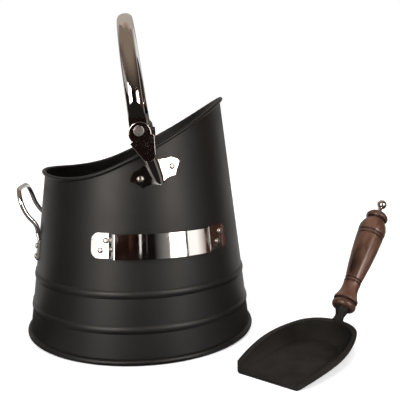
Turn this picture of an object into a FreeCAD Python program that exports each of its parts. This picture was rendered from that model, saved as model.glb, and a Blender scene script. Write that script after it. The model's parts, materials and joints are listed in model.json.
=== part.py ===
import FreeCAD, Part
import math
import os
import re
import Sketcher
from types import SimpleNamespace

V = FreeCAD.Vector
ORIGIN = V(0, 0, 0)
ALONG_X = V(1, 0, 0)
ALONG_Y = V(0, 1, 0)
UP = V(0, 0, 1)
FULL_TURN = 360

# Driving sizes, in millimetres and degrees. +X points to the tall lip, +Z up, and the origin is
# on the floor under the middle of the bucket. The right side of the bucket is -Y.
SIZES = [
    # Wall: a cone blank, cut to the slanted rim
    ("wall_foot_radius", 136.9, "outer radius of the wall at floor level"),
    ("blank_height", 290, "height of the cone blank before its rim is cut"),
    ("blank_top_radius", 99.1, "outer radius at the top of the blank"),
    ("wall_sheet", 1.0, "thickness of the wall"),
    ("rib_height", 9, "height of each swaged rib"),
    ("rib_stand", 1.4, "how far a rib stands out"),
    ("lower_rib_level", 37.5, "middle of the lower rib"),
    ("upper_rib_level", 74.6, "middle of the upper rib"),
    ("lap_width", 9, "width of the wall's lapped seam, at the low side"),
    ("lap_step", 0.8, "how far the lapped seam stands out"),
    # Rim: two tangent arcs in the side view, rolled round a wire
    ("rim_low_reach", 84.5, "how far behind the axis the rim is lowest"),
    ("rim_low_height", 194.1, "height of the rim there"),
    ("rim_low_radius", 139.5, "radius of the rim's arc at the low side"),
    ("rim_turn_angle", 22.4, "slope at which the two arcs meet"),
    ("rim_rise_radius", 606, "radius of the arc that rises to the lip"),
    ("curl_radius", 2.1, "outer radius of the rolled rim"),
    ("curl_stand", 1.5, "outer face of the wall to the middle of the rolled rim"),
    ("wire_radius", 1.2, "radius of the wire in the rim"),
    # Base: a raised disc, seamed round the foot of the wall
    ("base_sheet", 1.2, "thickness of the base"),
    ("base_rise", 9, "height of the base above the floor"),
    ("foot_height", 7.2, "height of the seam bead that the bucket stands on"),
    ("foot_stand", 3.6, "how far the bead stands out from the wall"),
    ("edge_lift", 1.6, "height of the wall's lower edge in the seam"),
    # Fits
    ("fit_gap", 0.05, "gap between pieces that are pressed or riveted together"),
    ("seat_gap", 0.1, "gap between the wall and what is riveted on it"),
    ("overrun", 5, "how far a cutting shape runs past what it cuts"),
    # Rivets in the wall
    ("rivet_radius", 2.0, "radius of a rivet's shank"),
    ("rivet_head_radius", 3.4, "radius of its head"),
    ("rivet_head_height", 1.9, "height of its head"),
    ("rivet_dimple_radius", 1.3, "radius of the dimple in the head"),
    ("rivet_dimple_depth", 0.7, "depth of the dimple"),
    ("rivet_tail_radius", 2.9, "radius of the tail inside the wall"),
    ("rivet_tail_height", 1.5, "height of the tail"),
    # Bail brackets: a leaf on the wall, a hollow ridge and a flat ear
    ("pivot_forward", 5.4, "how far the bail's pivot is towards the lip"),
    ("pivot_rise", 25.9, "height of the pivot above the rim"),
    ("bracket_lean", 20.5, "lean of the bracket towards the low side"),
    ("leaf_half_span", 28.5, "middle of the leaf to its tip"),
    ("leaf_half_height", 14, "middle of the leaf to its lower point"),
    ("leaf_sheet", 1.7, "thickness of the leaf"),
    ("leaf_corner", 1.0, "rounding of the leaf's points"),
    ("leaf_rivet_reach", 17.6, "middle of the leaf to each rivet"),
    ("ear_height", 47.7, "middle of the leaf to the pivot"),
    ("ear_radius", 11.9, "radius of the ear"),
    ("ear_sheet", 2.4, "thickness of the ear"),
    ("ear_edge", 0.7, "rounding of the ear's outer edge"),
    ("ear_clear", 5.7, "rolled rim to the inner face of the ear"),
    ("ridge_half_width", 7.2, "half the width of the ridge"),
    ("ridge_round", 5.0, "rounding of the ridge's shoulders"),
    ("ridge_sheet", 1.6, "thickness of the ridge's walls"),
    # Pivot rivets
    ("pivot_radius", 3.5, "radius of the pivot"),
    ("pivot_gap", 0.06, "radial clearance of the bail on its pivot"),
    ("side_gap", 0.3, "clearance each side of the bail's flat end"),
    ("pivot_head_radius", 5.5, "radius of the pivot's flat head"),
    ("pivot_head_height", 1.6, "height of that head"),
    ("pivot_head_edge", 0.5, "rounding of that head"),
    ("pivot_tail_radius", 5.4, "radius of the pivot's inner end"),
    ("pivot_tail_height", 1.8, "height of the pivot's inner end"),
    # Bail: an arch of oval tube with ends pressed flat
    ("bail_half_width", 8.75, "half the width of the tube"),
    ("bail_half_depth", 5.9, "half the depth of the tube, across the arch"),
    ("bail_rise", 12.6, "height of the arch's middle above the pivot"),
    ("bail_neck", 30.5, "height above the pivot where the tube has its whole depth"),
    ("flat_length", 14, "height above the pivot where the flat end stops"),
    ("flat_half_width", 9.8, "half the width of the flat end"),
    ("flat_sheet", 3.0, "thickness of the flat end"),
    ("bail_lean", 7.3, "lean of the bail at rest, towards the low side"),
    # Shovel strap, on the right side: angles run from the right side towards the lip
    ("strap_level", 126.75, "height of the strap's middle"),
    ("strap_width", 26.5, "width of the strap"),
    ("strap_sheet", 1.4, "thickness of the strap"),
    ("strap_stand", 6.2, "clear gap behind the raised part"),
    ("strap_start", -23.3, "angle of the end at the low side"),
    ("strap_end", 54.7, "angle of the end at the lip side"),
    ("raised_start", -10.4, "angle where the raised part starts"),
    ("raised_end", 38.0, "angle where the raised part ends"),
    ("strap_corner", 8, "rounding of the tabs' corners"),
    ("strap_bend", 1.0, "rounding of the strap's bends"),
    ("strap_rivet_near", 10.6, "end of the strap to its nearer rivet"),
    ("strap_rivet_far", 16.6, "end of the strap to its farther rivet"),
    ("strap_rivet_step", 5.2, "rivet above or below the strap's middle"),
    # Loop handle at the low side
    ("loop_half_span", 33.5, "half the distance between the loop's legs"),
    ("loop_rod_radius", 2.75, "radius of the rod"),
    ("loop_foot_low", 92.5, "height of the lower end of the feet"),
    ("loop_foot_top", 118, "height where the feet are still flat"),
    ("loop_foot_lap", 2.5, "how far the rod's flattened end runs into the foot"),
    ("loop_rod_start", 125, "height where the rod is round"),
    ("loop_foot_half_width", 5.5, "half the width of a foot"),
    ("loop_foot_sheet", 2.4, "thickness of a foot"),
    ("loop_root_bend", 17.2, "bend radius where a leg leaves the wall"),
    ("loop_lean", 43.4, "outward lean of the legs"),
    ("loop_run", 2.4, "straight run of the legs"),
    ("loop_top_bend", 44.8, "bend radius above that run"),
    ("loop_top_lean", 17, "outward lean of the loop's top"),
    ("loop_corner", 19, "bend radius of the loop's upper corners"),
    ("loop_rivet_low", 97.5, "height of the lower rivets"),
    ("loop_rivet_high", 110, "height of the upper rivets"),
    # Shovel: its place on the floor, from the middle of its front edge
    ("shovel_forward", 127.8, "front edge towards the lip"),
    ("shovel_side", -186.6, "front edge towards the left side"),
    ("shovel_turn", 47.9, "direction of the shovel"),
    # Pan
    ("pan_front_half", 47.8, "half the rim's width at the front, before its corners are cut"),
    ("pan_nose_half", 35, "half the width of the straight front edge"),
    ("pan_corner_half", 51.3, "half the rim's width where the cut corners end"),
    ("pan_corner_run", 23, "front edge to where the cut corners end"),
    ("pan_nose_round", 7, "rounding of the front edge's ends"),
    ("pan_half_width", 53.6, "half the rim's greatest width"),
    ("pan_widest", 60, "front edge to the greatest width"),
    ("pan_length", 156.5, "front edge to the back of the rim"),
    ("pan_back_radius", 41.4, "radius of the rim at the back"),
    ("pan_depth", 27, "height up to which the pan is formed before its rim is cut"),
    ("pan_flare", 18.2, "how far the rim stands out beyond the floor"),
    ("pan_wall", 4.2, "thickness of the pan's walls"),
    ("pan_floor", 3.5, "thickness of its floor"),
    ("pan_rim_front", 5.6, "height of the rim at the front edge"),
    ("pan_rim_middle", 15.1, "height of the rim at its middle"),
    ("pan_rim_back", 20.9, "height of the rim at the back"),
    # Neck and handle, measured along the handle's axis from where it leaves the pan's rim
    ("handle_angle", 45, "rise of the handle"),
    ("handle_reach", 160, "front edge to where the axis starts"),
    ("handle_level", 18.7, "height where the axis starts"),
    ("neck_length", 15.5, "start of the axis to the grip"),
    ("neck_root_radius", 8.2, "radius of the neck at the pan"),
    ("neck_depth", 12, "start of the axis to the neck's end under the pan's rim"),
    ("neck_end_radius", 4, "radius of the neck there"),
    ("neck_waist_radius", 5.4, "least radius of the neck"),
    ("neck_top_radius", 8.7, "radius of the neck under the grip"),
    ("rod_radius", 2.5, "radius of the tie rod"),
    ("rod_socket", 11, "depth of the rod in the neck"),
    ("rod_in_finial", 9, "depth of the rod in the finial"),
    # Turned grip
    ("grip_length", 141, "length of the grip"),
    ("grip_bead_radius", 14.4, "radius of the bead at its lower end"),
    ("grip_bead_height", 8.6, "height of that bead"),
    ("grip_seam_radius", 12.4, "radius of the neck between bead and flare"),
    ("grip_flare_radius", 14.5, "radius of the flare above the bead"),
    ("grip_waist_radius", 10.3, "radius of the waist"),
    ("grip_barrel_radius", 16.6, "radius of the barrel"),
    ("grip_throat_radius", 10.5, "radius under the collar"),
    ("grip_collar_radius", 13.6, "radius of the collar"),
    ("grip_flare_sweep", 34, "radius of the curve from flare to waist"),
    ("grip_barrel_sweep", 600, "radius of the curve from waist to barrel"),
    ("grip_shoulder_sweep", 24, "radius of the curve from barrel to throat"),
    ("grip_collar_sweep", 4.5, "radius of the collar's round edge"),
    ("groove_width", 1.4, "width of a turned groove"),
    ("groove_depth", 0.6, "depth of a turned groove"),
    # Finial
    ("ball_radius", 6.2, "radius of the ball"),
    ("ball_level", 16.5, "top of the grip to the middle of the ball"),
    ("finial_base_radius", 5.4, "radius of the finial's base"),
    ("finial_base_height", 1.5, "height of the base's edge"),
    ("finial_neck_radius", 2.9, "radius of the finial's neck"),
    ("finial_sweep", 11, "radius of the curve from base to neck"),
]

# The right half of the leaf, from its lower point up: a point that each edge passes and its end,
# as shares of the leaf's half span and half height
LEAF_SHARES = [
    ((0.344, -0.671), (0.646, -0.714)),
    ((0.807, -0.257), (1.0, 0.121)),
    ((0.888, 0.42), (0.719, 0.686)),
    ((0.512, 0.73), (0.263, 0.914)),
]
# The right half of the arm: half widths as shares of the ear's radius, heights of the ear's height.
# The arm fans out from a round root to a shoulder, each edge given by its end and, where it is
# curved, a point before it. The ear is a disc set a little below its pivot.
ARM_TONGUE_SHARE = 0.29
ARM_SHARES = [
    ((0.4, 0.325), (0.62, 0.4)),
    ((1.11, 0.78),),
    ((1.11, 0.81), (1.04, 0.83)),
]
EAR_MIDDLE_SHARE = 0.94
EAR_NOTCH_SHARE = 0.84
# Ridge sections, bottom to top: height as a share of the ear's height, width as a share of the
# ridge's, and how far its crown stands out from the leaf towards the ear's face
RIDGE_SHARES = [(-0.27, 0.75, 0.02), (0.0, 0.95, 0.45), (0.37, 1.0, 1.0)]
HOLLOW_START_SHARE = -0.1
# Pan contours, bottom to top: height as a share of the pan's depth, flare still to come
CONTOUR_SHARES = [(0.0, 1.0), (0.22, 0.5), (0.55, 0.18), (1.0, 0.0)]
FRONT_FLARE_SHARE = 0.76
BACK_FLARE_SHARE = 1.55
# Heights on the grip as shares of its length
GRIP_FLARE_SHARES = (0.072, 0.09)
WAIST_GROOVE_SHARES = (0.25, 0.281)
BARREL_GROOVE_SHARES = (0.738, 0.772)
THROAT_SHARES = (0.932, 0.94)
COLLAR_TOP_SHARE = 0.992
GRIP_END_SHARE = 0.84

# How finely the rim's path is followed on each side, and how often its height is refined
RIM_SPANS = 8
RIM_ROUNDS = 12
SMALL_ANGLE = 0.001

doc = FreeCAD.newDocument("ash_bucket")
sheet = doc.addObject("Spreadsheet::Sheet", "sizes")
for row, (alias, value, note) in enumerate(SIZES, start=1):
    sheet.set(f"A{row}", note)
    sheet.set(f"B{row}", str(value))
    sheet.setAlias(f"B{row}", alias)
doc.recompute()

d = SimpleNamespace(**{alias: float(sheet.get(alias)) for alias, _, _ in SIZES})
ALIASES = re.compile(r"\b(" + "|".join(alias for alias, _, _ in SIZES) + r")\b")


# Parametric helpers

def bound(text):
    """The expression with each size's name pointed at the sheet."""
    return ALIASES.sub(r"sizes.\1", str(text))


def sketch_on(body, plane, name):
    """An empty sketch on one of the body's own origin planes."""
    sketch = body.newObject("Sketcher::SketchObject", name)
    support = next(f for f in body.Origin.OriginFeatures if f.Role == plane)
    sketch.AttachmentSupport = [(support, "")]
    sketch.MapMode = "FlatFace"
    return sketch


def arc_between(start, end, radius, turn):
    """The lesser arc from start to end, counter-clockwise where turn is 1, clockwise where -1."""
    chord = end - start
    half = chord.Length / 2
    side = V(-chord.y, chord.x, 0) * (turn / chord.Length)
    middle = (start + end) / 2 + side * math.sqrt(radius ** 2 - half ** 2)
    first, last = (start, end) if turn > 0 else (end, start)
    angles = [math.atan2(p.y - middle.y, p.x - middle.x) for p in (first, last)]
    return Part.ArcOfCircle(Part.Circle(middle, UP, radius), *angles)


def draw(sketch, corners):
    """A closed outline. A corner is (x, y), or (x, y, radius, turn) after an arc, as expressions."""
    def number(text):
        return float(sketch.evalExpression(bound(text)))

    points = [V(number(corner[0]), number(corner[1]), 0) for corner in corners]
    ends = []
    for i, corner in enumerate(corners):
        start, end = points[i - 1], points[i]
        if len(corner) == 2:
            sketch.addGeometry(Part.LineSegment(start, end))
            ends.append((1, 2))
        else:
            sketch.addGeometry(arc_between(start, end, number(corner[2]), corner[3]))
            ends.append((1, 2) if corner[3] > 0 else (2, 1))
    for i, corner in enumerate(corners):
        following = (i + 1) % len(corners)
        last, first = ends[i][1], ends[following][0]
        sketch.addConstraint(Sketcher.Constraint("Coincident", i, last, following, first))
        for kind, text in (("DistanceX", corner[0]), ("DistanceY", corner[1])):
            index = sketch.addConstraint(Sketcher.Constraint(kind, -1, 1, i, last, number(text)))
            sketch.setExpression(f"Constraints[{index}]", bound(text))
        if len(corner) > 2:
            index = sketch.addConstraint(Sketcher.Constraint("Radius", i, number(corner[2])))
            sketch.setExpression(f"Constraints[{index}]", bound(corner[2]))


def revolved(name, corners):
    """A body turned about its Z axis from a profile of (radius, height) corners."""
    body = doc.addObject("PartDesign::Body", name)
    sketch = sketch_on(body, "XZ_Plane", name + "_profile")
    draw(sketch, corners)
    turned = body.newObject("PartDesign::Revolution", name + "_turned")
    turned.Profile = sketch
    turned.ReferenceAxis = (sketch, ["V_Axis"])
    turned.Angle = FULL_TURN
    return body


def feature(name, shape, place=None):
    """A document object that holds a shape made here."""
    made = doc.addObject("Part::Feature", name)
    made.Shape = shape
    if place is not None:
        made.Placement = place
    return made


def boolean(kind, name, base, tools):
    """A Part::Cut or Part::MultiFuse of document objects."""
    made = doc.addObject(kind, name)
    if kind == "Part::Cut":
        made.Base = base
        made.Tool = tools
    else:
        made.Shapes = [base] + tools
    return made


def labelled(made, label):
    made.Label = label
    return made


# The cone of the wall and the places on it

def wall_at(height):
    """The wall's outer radius at a height, as an expression."""
    return f"(wall_foot_radius - (wall_foot_radius - blank_top_radius) * ({height}) / blank_height)"


TAPER = (d.wall_foot_radius - d.blank_top_radius) / d.blank_height


def wall_radius(height):
    return d.wall_foot_radius - TAPER * height


def cone(offset):
    """The whole cone of the wall, grown by an offset."""
    low = -d.overrun
    return Part.makeCone(
        wall_radius(low) + offset, wall_radius(d.blank_height) + offset, d.blank_height - low, V(0, 0, low)
    )


def layer(offset, thickness):
    """A skin on the wall, from an offset outwards."""
    return cone(offset + thickness).cut(cone(offset))


def wall_place(azimuth, height):
    """A placement on the wall's outer face whose Z axis is the outward normal. Azimuth is from +X."""
    a = math.radians(azimuth)
    normal = V(math.cos(a), math.sin(a), TAPER).normalize()
    radius = wall_radius(height)
    at = V(radius * math.cos(a), radius * math.sin(a), height)
    return FreeCAD.Placement(at, FreeCAD.Rotation(UP, normal))


def azimuth_at(x, height):
    """Azimuth on the right side of the wall, from a place in the side view."""
    return -math.degrees(math.acos(x / wall_radius(height)))


# The rim's line

TURN = math.radians(d.rim_turn_angle)
RIM_MEET_X = d.rim_low_radius * math.sin(TURN) - d.rim_low_reach
RIM_MEET_Z = d.rim_low_height + d.rim_low_radius * (1 - math.cos(TURN))


def rim_height(x):
    """Height of the rim's middle in the side view."""
    if x < RIM_MEET_X:
        rise = math.sqrt(d.rim_low_radius ** 2 - (x + d.rim_low_reach) ** 2)
        return d.rim_low_height + d.rim_low_radius - rise
    middle_x = RIM_MEET_X - d.rim_rise_radius * math.sin(TURN)
    middle_z = RIM_MEET_Z + d.rim_rise_radius * math.cos(TURN)
    return middle_z - math.sqrt(d.rim_rise_radius ** 2 - (x - middle_x) ** 2)


def rim_point(angle):
    """A point of the rolled rim's middle line, at an angle from +X."""
    height = d.rim_low_height
    for _ in range(RIM_ROUNDS):
        radius = wall_radius(height) + d.curl_stand
        height = rim_height(radius * math.cos(angle))
    return V(radius * math.cos(angle), radius * math.sin(angle), height)


def rim_tangent(angle):
    return (rim_point(angle + SMALL_ANGLE) - rim_point(angle - SMALL_ANGLE)).normalize()


def arc_leaving(start, tangent, end):
    """The arc from start, along tangent, to end."""
    chord = end - start
    across = tangent * chord.dot(chord) - chord * tangent.dot(chord)
    turn = chord.getAngle(tangent)
    bulge = chord.Length / 2 * math.tan(turn / 2)
    return Part.Arc(start, (start + end) / 2 + across.normalize() * bulge, end).toShape()


def biarc(start, leaving, end, arriving):
    """Two tangent arcs from start to end with the given tangents."""
    gap = end - start
    both = leaving + arriving
    spread = 2 * (1 - leaving.dot(arriving))
    reach = (math.sqrt(gap.dot(both) ** 2 + spread * gap.dot(gap)) - gap.dot(both)) / spread
    middle = (start + leaving * reach + end - arriving * reach) / 2
    return [arc_leaving(start, leaving, middle), arc_leaving(end, arriving * -1, middle)]


def rim_pipe(radius):
    """A round bar along the whole rim, made for the left half and mirrored."""
    angles = [math.pi * i / RIM_SPANS for i in range(RIM_SPANS + 1)]
    edges = []
    for a, b in zip(angles, angles[1:]):
        edges += biarc(rim_point(a), rim_tangent(a), rim_point(b), rim_tangent(b))
    path = Part.Wire(Part.__sortEdges__(edges))
    section = Part.Wire(Part.Circle(rim_point(0), ALONG_Y, radius).toShape())
    half = path.makePipeShell([section], True, False)
    return half.fuse(half.mirror(ORIGIN, ALONG_Y)).removeSplitter()


# Bracket frame: U along the leaf and W up the ear, both in the side view

PIVOT_Z = rim_height(d.pivot_forward) + d.pivot_rise
LEAN = math.radians(d.bracket_lean)
ACROSS = V(math.cos(LEAN), 0, math.sin(LEAN))
UPWARDS = V(-math.sin(LEAN), 0, math.cos(LEAN))
LEAF_MIDDLE = V(d.pivot_forward, 0, PIVOT_Z) - UPWARDS * d.ear_height
EAR_INNER = wall_radius(rim_height(d.pivot_forward)) + d.curl_stand + d.curl_radius + d.ear_clear
EAR_OUTER = EAR_INNER + d.ear_sheet
FLAT_MIDDLE = EAR_INNER - d.side_gap - d.flat_sheet / 2
PIVOT_TAIL = EAR_INNER - 2 * d.side_gap - d.flat_sheet


def on_bracket(u, w, out=0.0):
    """A point of the right bracket, from the middle of its leaf, out from the XZ plane."""
    return LEAF_MIDDLE + ACROSS * u + UPWARDS * w - ALONG_Y * out


def mirrored_outline(start, spans):
    """A closed wire symmetric about the bracket's axis, from (via, end) or (end,) spans of one half."""
    edges = []
    for side in (1, -1):
        last = on_bracket(*start)
        for span in spans:
            points = [on_bracket(side * u, w) for u, w in span]
            made = Part.LineSegment(last, *points) if len(points) == 1 else Part.Arc(last, *points)
            edges.append(made.toShape())
            last = points[-1]
    ends = [on_bracket(side * spans[-1][-1][0], spans[-1][-1][1]) for side in (1, -1)]
    if not ends[0].isEqual(ends[1], d.fit_gap):
        edges.append(Part.LineSegment(*ends).toShape())
    return Part.Wire(Part.__sortEdges__(edges))


def prism(wire, inner, outer):
    """A wire of the bracket's outline as a solid between two distances from the XZ plane."""
    face = Part.Face(wire)
    face.translate(ALONG_Y * -inner)
    return face.extrude(ALONG_Y * -(outer - inner))


def edges_along(shape, direction):
    """The straight edges that run along a direction."""
    straight = [edge for edge in shape.Edges if edge.Curve.TypeId == "Part::GeomLine"]
    return [e for e in straight if e.tangentAt(e.FirstParameter).cross(direction).Length < SMALL_ANGLE]


def leaf():
    """The leaf plate, which follows the wall."""
    size = (d.leaf_half_span, d.leaf_half_height)
    spans = [[(u * size[0], w * size[1]) for u, w in span] for span in LEAF_SHARES]
    block = prism(mirrored_outline((0, -d.leaf_half_height), spans), 0, EAR_OUTER + d.overrun)
    block = block.makeFillet(d.leaf_corner, edges_along(block, ALONG_Y))
    return block.common(layer(d.seat_gap, d.leaf_sheet))


def arm():
    """The flat arm and ear."""
    height, radius = d.ear_height, d.ear_radius
    side = [[(u * radius, w * height) for u, w in span] for span in ARM_SHARES]
    middle = EAR_MIDDLE_SHARE * height
    notch = EAR_NOTCH_SHARE * height
    notch = (math.sqrt(radius ** 2 - (middle - notch) ** 2), notch)
    spans = [*side, [notch], [(radius, middle), (0, middle + radius)]]
    plate = prism(mirrored_outline((0, ARM_TONGUE_SHARE * height), spans), EAR_INNER, EAR_OUTER)
    face = max(plate.Faces, key=lambda f: -f.CenterOfMass.y)
    return plate.makeFillet(d.ear_edge, face.Edges)


def ridge_section(height, half_width, crown_share, sheet):
    """One section of the ridge: two sides, round shoulders and a flat crown, closed inside the wall."""
    middle = on_bracket(0, height)
    skin = math.sqrt(wall_radius(middle.z) ** 2 - middle.x ** 2) + d.seat_gap + d.leaf_sheet
    crown = skin + crown_share * (EAR_OUTER - skin) - sheet
    root = skin - d.leaf_sheet - 2 * d.overrun
    half = half_width - sheet
    turn = d.ridge_round - sheet
    inset = turn * (1 - math.sqrt(0.5))
    places = [
        (half, root), (half, crown - turn), (half - inset, crown - inset), (half - turn, crown),
        (turn - half, crown), (inset - half, crown - inset), (-half, crown - turn), (-half, root),
    ]
    points = [on_bracket(u, height, out) for u, out in places]
    return Part.Wire([
        Part.LineSegment(points[0], points[1]).toShape(),
        Part.Arc(*points[1:4]).toShape(),
        Part.LineSegment(points[3], points[4]).toShape(),
        Part.Arc(*points[4:7]).toShape(),
        Part.LineSegment(points[6], points[7]).toShape(),
        Part.LineSegment(points[7], points[0]).toShape(),
    ])


def ridge():
    """The raised ridge that carries the arm, hollow behind and open above."""
    rows = [(w * d.ear_height, h * d.ridge_half_width, c) for w, h, c in RIDGE_SHARES]
    outside = Part.makeLoft([ridge_section(*row, 0) for row in rows], True)
    start = (HOLLOW_START_SHARE * d.ear_height, rows[1][1], rows[1][2] / 2)
    end = (rows[2][0] + d.overrun, rows[2][1], rows[2][2])
    hollow_rows = [start, rows[1], rows[2], end]
    hollow = Part.makeLoft([ridge_section(*row, d.ridge_sheet) for row in hollow_rows], True)
    return outside.cut(hollow)


def bracket():
    """The right bracket, with its pivot hole."""
    body = leaf().fuse([arm(), ridge().cut(cone(d.seat_gap))]).removeSplitter()
    at = on_bracket(0, d.ear_height, EAR_INNER - d.overrun)
    length = d.ear_sheet + 2 * d.overrun
    return body.cut(Part.makeCylinder(d.pivot_radius + d.fit_gap, length, at, ALONG_Y * -1))


# Rivets

def rivet(name, plate):
    """A wall rivet along Z: its head on a plate of the given thickness, its tail inside the wall."""
    head = f"({plate} + 2 * seat_gap)"
    tail = "(wall_sheet + seat_gap)"
    brow = f"{head} + rivet_head_height"
    slope = "(rivet_head_radius - rivet_dimple_radius)"
    dome = f"(({slope} ^ 2 + rivet_head_height ^ 2) / (2 * rivet_head_height))"
    return revolved(name, [
        ("0", f"-{tail} - rivet_tail_height"),
        ("rivet_tail_radius", f"-{tail} - rivet_tail_height"),
        ("rivet_tail_radius", f"-{tail}"),
        ("rivet_radius", f"-{tail}"),
        ("rivet_radius", head),
        ("rivet_head_radius", head),
        ("rivet_dimple_radius", brow, dome, 1),
        ("rivet_dimple_radius", f"{brow} - rivet_dimple_depth"),
        ("0", f"{brow} - rivet_dimple_depth"),
    ])


def rivet_group(label, pattern, places):
    """Copies of one rivet as the separate solids of one node."""
    group = doc.addObject("Part::Feature", label)
    solids = []
    for place in places:
        solid = pattern.Shape.copy()
        solid.Placement = place
        solids.append(solid)
    group.Shape = Part.makeCompound(solids)
    return labelled(group, label)


def rivet_holes(places):
    """Holes for those rivets, through the wall and what is on it."""
    radius = d.rivet_radius + d.fit_gap
    holes = []
    for place in places:
        hole = Part.makeCylinder(radius, 2 * d.overrun, V(0, 0, -d.overrun))
        hole.Placement = place
        holes.append(hole)
    return holes


def flipped(place):
    """A place on the wall mirrored to the left side."""
    at = place.Base
    return wall_place(math.degrees(math.atan2(-at.y, at.x)), at.z)


def strap_azimuth(angle):
    return angle - FULL_TURN / 4


leaf_points = [on_bracket(side * d.leaf_rivet_reach, 0) for side in (-1, 1)]
BRACKET_RIGHT = [wall_place(azimuth_at(p.x, p.z), p.z) for p in leaf_points]
BRACKET_LEFT = [flipped(place) for place in BRACKET_RIGHT]

STRAP_RADIUS = wall_radius(d.strap_level)
near_angle = math.degrees(d.strap_rivet_near / STRAP_RADIUS)
far_angle = math.degrees(d.strap_rivet_far / STRAP_RADIUS)
STRAP_LOW_SIDE = [
    wall_place(strap_azimuth(d.strap_start + far_angle), d.strap_level + d.strap_rivet_step),
    wall_place(strap_azimuth(d.strap_start + near_angle), d.strap_level - d.strap_rivet_step),
]
STRAP_LIP_SIDE = [
    wall_place(strap_azimuth(d.strap_end - near_angle), d.strap_level + d.strap_rivet_step),
    wall_place(strap_azimuth(d.strap_end - far_angle), d.strap_level - d.strap_rivet_step),
]


def loop_azimuth(height):
    """Azimuth of the loop's right leg on the wall."""
    return -FULL_TURN / 2 + math.degrees(math.asin(d.loop_half_span / wall_radius(height)))


LOOP_RIGHT = [wall_place(loop_azimuth(z), z) for z in (d.loop_rivet_low, d.loop_rivet_high)]
LOOP_LEFT = [flipped(place) for place in LOOP_RIGHT]
ALL_RIVETS = BRACKET_RIGHT + BRACKET_LEFT + STRAP_LOW_SIDE + STRAP_LIP_SIDE + LOOP_RIGHT + LOOP_LEFT


# Bucket shell: a turned wall with ribs, cut to the rim, with the rolled rim added

RIB_RADIUS = "((rib_height ^ 2 / 4 + rib_stand ^ 2) / (2 * rib_stand))"


def wall_profile(low, inner, outer, side):
    """Up the outside of the wall and down its inside, over both ribs. Side is 1 at +X, -1 at -X."""
    ribs = ("lower_rib_level", "upper_rib_level")

    def at(height, offset):
        return f"{side} * ({wall_at(height)} + {offset})", height

    corners = [at(low, outer)]
    for level in ribs:
        corners.append(at(f"{level} - rib_height / 2", outer))
        corners.append((*at(f"{level} + rib_height / 2", outer), RIB_RADIUS, side))
    corners += [at("blank_height", outer), at("blank_height", inner)]
    for level in reversed(ribs):
        corners.append(at(f"{level} + rib_height / 2", inner))
        corners.append((*at(f"{level} - rib_height / 2", inner), RIB_RADIUS, -side))
    return corners + [at(low, inner)]


def rim_outline():
    """Everything above the rim in the side view."""
    meet_x = "(rim_low_radius * sin(rim_turn_angle) - rim_low_reach)"
    meet_z = "(rim_low_height + rim_low_radius * (1 - cos(rim_turn_angle)))"
    drop = "sqrt(rim_low_radius ^ 2 - (wall_foot_radius - rim_low_reach) ^ 2)"
    low = f"(rim_low_height + rim_low_radius - {drop})"
    middle_x = f"({meet_x} - rim_rise_radius * sin(rim_turn_angle))"
    middle_z = f"({meet_z} + rim_rise_radius * cos(rim_turn_angle))"
    high = f"({middle_z} - sqrt(rim_rise_radius ^ 2 - (wall_foot_radius - {middle_x}) ^ 2))"
    top = f"{high} + blank_height"
    return [
        ("-wall_foot_radius", low),
        (meet_x, meet_z, "rim_low_radius", 1),
        ("wall_foot_radius", high, "rim_rise_radius", 1),
        ("wall_foot_radius", top),
        ("-wall_foot_radius", top),
    ]


def bucket_wall():
    body = revolved("bucket_wall", wall_profile("edge_lift + fit_gap", "-wall_sheet", "0", 1))
    seam_sketch = sketch_on(body, "XZ_Plane", "lapped_seam_profile")
    draw(seam_sketch, wall_profile("foot_height + seat_gap", "-wall_sheet / 2", "lap_step", -1))
    seam = body.newObject("PartDesign::Revolution", "lapped_seam")
    seam.Profile = seam_sketch
    seam.ReferenceAxis = (seam_sketch, ["V_Axis"])
    seam.Midplane = True
    seam.setExpression("Angle", bound("lap_width / wall_foot_radius * 180 / pi"))
    rim_sketch = sketch_on(body, "XZ_Plane", "rim_outline")
    draw(rim_sketch, rim_outline())
    rim = body.newObject("PartDesign::Pocket", "rim_cut")
    rim.Profile = rim_sketch
    rim.SideType = "Symmetric"
    rim.setExpression("Length", bound("4 * wall_foot_radius"))
    return body


def bucket_shell():
    curl = feature("rolled_rim", rim_pipe(d.curl_radius))
    joined = boolean("Part::MultiFuse", "wall_with_rim", bucket_wall(), [curl])
    holes = feature("wall_openings", Part.makeCompound(rivet_holes(ALL_RIVETS) + [rim_pipe(d.wire_radius)]))
    return labelled(boolean("Part::Cut", "shell", joined, holes), "bucket_shell")


def rim_wire():
    return labelled(feature("wire", rim_pipe(d.wire_radius - d.fit_gap)), "rim_wire")


def base_plate():
    """A raised disc whose edge is turned down and rolled out and up round the foot of the wall."""
    round_middle = f"{wall_at('foot_height / 2')} + foot_stand - foot_height / 2"
    return labelled(revolved("base", [
        ("0", "base_rise"),
        (f"{wall_at('base_rise')} - wall_sheet - fit_gap - base_sheet", "base_rise"),
        (f"{wall_at('0')} - wall_sheet - fit_gap - base_sheet", "0"),
        (round_middle, "0"),
        (f"{round_middle} + foot_height / 2", "foot_height / 2", "foot_height / 2", 1),
        (round_middle, "foot_height", "foot_height / 2", 1),
        (f"{wall_at('foot_height')} + fit_gap", "foot_height"),
        (f"{wall_at('edge_lift')} + fit_gap", "edge_lift"),
        (f"{wall_at('edge_lift')} - wall_sheet - fit_gap", "edge_lift"),
        (f"{wall_at('base_rise + base_sheet')} - wall_sheet - fit_gap", "base_rise + base_sheet"),
        ("0", "base_rise + base_sheet"),
    ]), "base_plate")


# Brackets and pivots

def brackets():
    blank = feature("bracket_blank", bracket())
    holes = feature("bracket_holes", Part.makeCompound(rivet_holes(BRACKET_RIGHT)))
    right = labelled(boolean("Part::Cut", "right_bracket", blank, holes), "bail_bracket_right")
    left = doc.addObject("Part::Mirroring", "left_bracket")
    left.Source = right
    left.Normal = ALONG_Y
    return [right, labelled(left, "bail_bracket_left")]


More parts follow.
